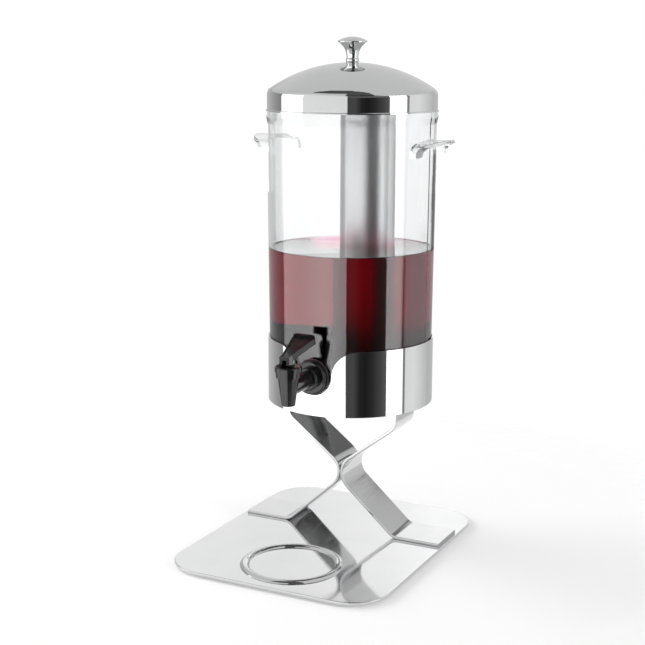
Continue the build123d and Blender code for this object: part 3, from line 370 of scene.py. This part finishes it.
def turned(name, points):
    """A closed mesh turned about the axis, from (radius, height) points between two points on the axis."""
    mesh = bmesh.new()
    rings = []
    for radius, height in points:
        count = 1 if radius == 0 else TURN_STEPS
        rings.append([mesh.verts.new((AXIS.x + radius * cos(2 * pi * step / TURN_STEPS),
                                      AXIS.y + radius * sin(2 * pi * step / TURN_STEPS), height))
                      for step in range(count)])
    for lower, upper in zip(rings, rings[1:]):
        for step in range(TURN_STEPS):
            after = (step + 1) % TURN_STEPS
            corners = [lower[step % len(lower)], lower[after % len(lower)],
                       upper[after % len(upper)], upper[step % len(upper)]]
            mesh.faces.new(list(dict.fromkeys(corners)))
    bmesh.ops.recalc_face_normals(mesh, faces=mesh.faces)
    piece = add_mesh(name, mesh)
    piece.data.shade_smooth()
    piece.data.set_sharp_from_angle(angle=radians(SHARP_ANGLE))
    return piece


def inside_radius(height):
    """The radius of the tank's wall inside, at a height where its mesh has points."""
    radii = [(vertex.co.xy - AXIS.xy).length for vertex in nodes["tank"].data.vertices
             if height - HEIGHT_PLAY < vertex.co.z < height + HEIGHT_PLAY]
    least = WALL_SHARE * max(radii)
    return min(radius for radius in radii if radius > least)


def make_juice():
    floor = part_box("ice_tube")[0].z
    tank_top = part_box("tank")[1].z
    low = inside_radius(floor + TANK_CORNER)
    top = inside_radius(tank_top)
    share = (JUICE_HEIGHT - floor) / (tank_top - floor)
    wall = low + (top - low) * share + JUICE_OVERLAP
    turns = [radians(step) for step in range(0, 91, CORNER_STEP)]
    curve = [(low - TANK_CORNER + TANK_CORNER * sin(turn), floor + TANK_CORNER - TANK_CORNER * cos(turn))
             for turn in turns]
    piece = turned("juice", [
        (0, floor - JUICE_OVERLAP),
        *[(radius + JUICE_OVERLAP, height - JUICE_OVERLAP) for radius, height in curve],
        (low + JUICE_OVERLAP, floor + TANK_CORNER + MENISCUS),
        (wall, JUICE_HEIGHT - MENISCUS),
        *[(wall - MENISCUS * inwards, JUICE_HEIGHT + MENISCUS * up) for inwards, up in MENISCUS_POINTS],
        (0, JUICE_HEIGHT),
    ])
    piece.data.materials.append(juice())
    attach(piece, "tank")


def make_spring():
    """The valve's spring as a piece of its own, made from a copy of the CAD node's mesh, in place of the
    hidden node.
    """
    piece = add_object("spring", nodes["valve_spring"].data.copy())
    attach(piece, "tank")
    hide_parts("valve_spring")
    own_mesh(piece)


# Studio

def make_camera():
    data = bpy.data.cameras.new("camera")
    data.lens = CAMERA_LENS
    data.sensor_width = CAMERA_SENSOR
    data.clip_start = CAMERA_CLIP
    camera = add_object("camera", data)
    camera.matrix_world = (
        Matrix.Translation(CAMERA_PLACE)
        @ Matrix.Rotation(radians(CAMERA_YAW), 4, "Z")
        @ Matrix.Rotation(radians(90 + CAMERA_PITCH), 4, "X")
        @ Matrix.Rotation(radians(CAMERA_ROLL), 4, "Z"))
    bpy.context.scene.camera = camera


def make_world():
    """White where it is seen straight, through glass or in metal, and a softer grey as light."""
    world = bpy.data.worlds.new("studio")
    bpy.context.scene.world = world
    world.use_nodes = True
    studio = Nodes(world.node_tree)
    seen = studio.seen("Is Camera Ray", "Is Transmission Ray", "Is Glossy Ray")
    strength = studio.add("MapRange", {"Value": seen, "To Min": WORLD_LIGHT, "To Max": WORLD_SEEN})
    background = studio.tree.nodes["Background"].inputs
    studio.feed(background["Strength"], strength.outputs["Result"])
    studio.feed(background["Color"], WHITE)


def make_floor():
    """A pale table top that fades into the white backdrop, and keeps the object's shadow."""
    mesh = bmesh.new()
    bmesh.ops.create_circle(mesh, cap_ends=True, segments=FLOOR_SEGMENTS, radius=FLOOR_RADIUS,
                            matrix=Matrix.Translation(AXIS))
    piece = add_mesh("floor", mesh)
    shader = Shader("floor")
    seen = shader.seen("Is Camera Ray", "Is Glossy Ray")
    glow = shader.add("Math", {0: seen, 1: FLOOR_GLOW}, operation="MULTIPLY")
    shader.set(Base_Color=(FLOOR_SHADE, FLOOR_SHADE, FLOOR_SHADE, 1), Roughness=FLOOR_ROUGHNESS,
               Emission_Color=WHITE, Emission_Strength=glow.outputs["Value"])
    place = shader.add("TexCoord", {}).outputs["Object"]
    offset = shader.add("VectorMath", {0: place, 1: AXIS}, operation="SUBTRACT")
    radius = shader.add("VectorMath", {0: offset.outputs["Vector"]}, operation="LENGTH")
    fade = shader.add("MapRange", {"Value": radius.outputs["Value"], "From Min": FLOOR_FADE_START,
                                   "From Max": FLOOR_RADIUS}, interpolation_type="SMOOTHSTEP")
    faded = shader.mix(fade.outputs["Result"], shader.surface.outputs["BSDF"], shader.clear())
    shader.feed(shader.output.inputs["Surface"], faded)
    piece.data.materials.append(shader.material)


def around(azimuth, distance, height):
    """A place round the axis, at an azimuth from the camera's side."""
    angle = radians(VIEW_AZIMUTH + azimuth)
    return Vector((AXIS.x + distance * sin(angle), AXIS.y - distance * cos(angle), height))


def softbox(name, azimuth, distance, height, width, tall, watts):
    """A rectangular lamp that faces the axis. The cards stand for it in reflections and through glass."""
    data = bpy.data.lights.new(name, "AREA")
    data.shape = "RECTANGLE"
    data.size = width
    data.size_y = tall
    data.energy = watts
    lamp = add_object(name, data)
    lamp.location = around(azimuth, distance, height)
    aim = Vector((AXIS.x, AXIS.y, height)) - lamp.location
    lamp.rotation_euler = aim.to_track_quat("-Z", "Y").to_euler()
    lamp.visible_camera = False
    lamp.visible_glossy = False
    lamp.visible_transmission = False


def card(name, seen, distance, low, high, stops):
    """A curved card round the tank, as a photographer sets beside the lamps. Its shade changes evenly from
    stop to stop."""
    mesh = bmesh.new()
    layer = mesh.verts.layers.float.new("shade")
    edge = []
    for (start, first), (end, last) in zip(stops, stops[1:]):
        steps = max(1, round(abs(end - start) / CARD_STEP))
        for step in range(1 if edge else 0, steps + 1):
            share = step / steps
            azimuth = start + (end - start) * share
            edge.append([mesh.verts.new(around(azimuth, distance, height)) for height in (low, high)])
            for vertex in edge[-1]:
                vertex[layer] = first + (last - first) * share
    for before, after in zip(edge, edge[1:]):
        mesh.faces.new([before[0], after[0], after[1], before[1]])
    put_up(name, mesh, seen)


def ceiling(name, height, shade, corners):
    """A flat card over the tank."""
    mesh = bmesh.new()
    layer = mesh.verts.layers.float.new("shade")
    face = mesh.faces.new([mesh.verts.new(around(azimuth, distance, height))
                           for azimuth, distance in corners])
    for vertex in face.verts:
        vertex[layer] = shade
    put_up(name, mesh, MIRROR)


def put_up(name, mesh, seen):
    """Makes a card of a mesh with a shade at each point, which is how brightly it glows there."""
    piece = add_mesh(name, mesh)
    shader = Shader(name)
    shade = shader.add("Attribute", {}, attribute_name="shade").outputs["Fac"]
    surface = shader.add("Emission", {"Strength": shade}).outputs["Emission"]
    if seen == MIRROR:
        depth = shader.add("LightPath", {}).outputs["Glossy Depth"]
        reflected = shader.add("Math", {0: depth, 1: HALF_BOUNCE}, operation="GREATER_THAN")
        surface = shader.mix(reflected.outputs["Value"], shader.clear(), surface)
    shader.feed(shader.output.inputs["Surface"], surface)
    piece.data.materials.append(shader.material)
    piece.visible_camera = False
    piece.visible_diffuse = False
    piece.visible_shadow = False


def make_studio():
    make_world()
    make_floor()
    for row in SOFTBOXES:
        softbox(*row)
    for row in CARDS:
        card(*row)
    for row in CEILINGS:
        ceiling(*row)


make_camera()
paint_all()
make_juice()
make_spring()
make_studio()

scene = bpy.context.scene
scene.view_settings.view_transform = "Standard"
scene.cycles.max_bounces = GLASS_BOUNCES
scene.cycles.transmission_bounces = GLASS_BOUNCES
scene.cycles.glossy_bounces = MIRROR_BOUNCES
